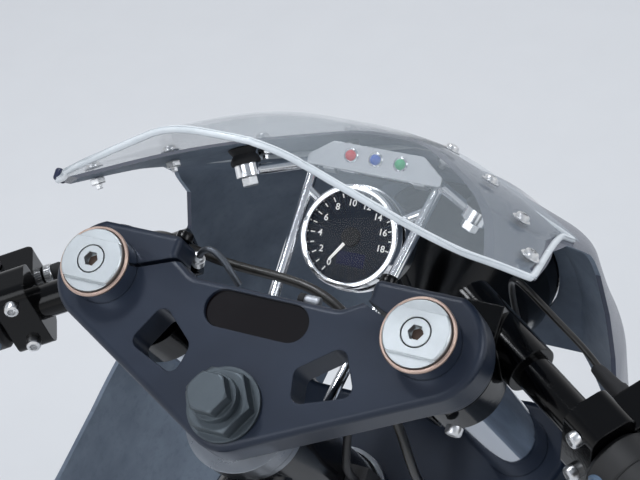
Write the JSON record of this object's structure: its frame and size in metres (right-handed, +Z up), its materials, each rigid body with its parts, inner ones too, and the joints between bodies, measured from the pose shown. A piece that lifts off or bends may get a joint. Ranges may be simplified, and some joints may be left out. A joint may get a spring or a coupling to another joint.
{
  "type": "cafe racer motorcycle front end",
  "caption": "Front end of a cafe racer motorcycle: half fairing with screen and tachometer on the headstock, steered fork with yokes and clip-on handlebars.",
  "frame": {"origin": "centre of the backbone tube's open rear end, where the rest of the frame is welded on", "axes": "+X to the rider's right, +Y forwards, +Z up; the backbone bore opens along -Y"},
  "size_m": [0.7432, 0.4576, 0.776],
  "materials": {
    "yoke_paint": "satin slate blue",
    "lens_inlay": "gloss",
    "stem_steel": "dull",
    "cover_steel": "bright",
    "frame_paint": "gloss black",
    "fork_chrome": "hard chrome",
    "cap_silver": "satin silver",
    "slider_alloy": "satin",
    "bar_black": "gloss black",
    "grip_rubber": "matt",
    "lever_alloy": "polished",
    "switch_plastic": "matt black",
    "fairing_paint": "gloss silver grey",
    "screen_clear": "clear",
    "lamp_shell": "gloss black",
    "lamp_chrome": "chrome",
    "lamp_glass": "fluted",
    "tach_case": "gloss black",
    "tach_dial": "dark navy",
    "tach_glass": "clear",
    "mount_rubber": "matt",
    "panel_alloy": "satin",
    "cable_sheath": "dull black",
    "loom_sleeve": "matt black",
    "connector_plastic": "matt black",
    "lamp_red": "translucent",
    "lamp_blue": "translucent",
    "lamp_green": "translucent"
  },
  "bodies": {
    "frame_head": {"headstock": "frame_paint", "bearing_cups": "cover_steel", "fairing": "fairing_paint", "windscreen": "screen_clear", "headlamp_bowl": "lamp_shell", "headlamp_rim": "lamp_chrome", "headlamp_lens": "lamp_glass", "tachometer_case": "tach_case", "tachometer_bezel": "lamp_chrome", "tachometer_dial": "tach_dial", "tachometer_glass": "tach_glass", "fairing_stay": "lamp_chrome", "rubber_mount_left": "mount_rubber", "rubber_mount_right": "mount_rubber", "warning_panel": "panel_alloy", "warning_lamp_red": "lamp_red", "warning_lamp_blue": "lamp_blue", "warning_lamp_green": "lamp_green", "wiring_loom": "loom_sleeve", "loom_connector": "connector_plastic"},
    "fork": {"top_yoke": "yoke_paint", "bottom_yoke": "yoke_paint", "yoke_lens": "lens_inlay", "steering_stem": "stem_steel", "stem_nut": "stem_steel", "stem_bolt": "stem_steel", "dust_cover": "cover_steel", "stanchion_left": "fork_chrome", "stanchion_right": "fork_chrome", "fork_cap_left": "cap_silver", "fork_cap_right": "cap_silver", "fork_slider_left": "slider_alloy", "fork_slider_right": "slider_alloy", "clip_on_left": "bar_black", "clip_on_right": "bar_black", "handlebar_left": "bar_black", "handlebar_right": "bar_black", "grip_left": "grip_rubber", "grip_right": "grip_rubber", "bar_end_left": "lever_alloy", "bar_end_right": "lever_alloy", "clutch_perch": "bar_black", "clutch_lever": "lever_alloy", "brake_perch": "bar_black", "brake_lever": "lever_alloy", "switch_housing": "switch_plastic", "throttle_housing": "switch_plastic", "clutch_cable": "cable_sheath", "brake_cable": "cable_sheath"}
  },
  "joints": [
    {"name": "steering", "type": "hinge", "parent": "frame_head", "child": "fork", "pos_m": [0, 0.095, 0], "axis": [0, -0.454, 0.891], "range_deg": [-22, 22]}
  ]
}
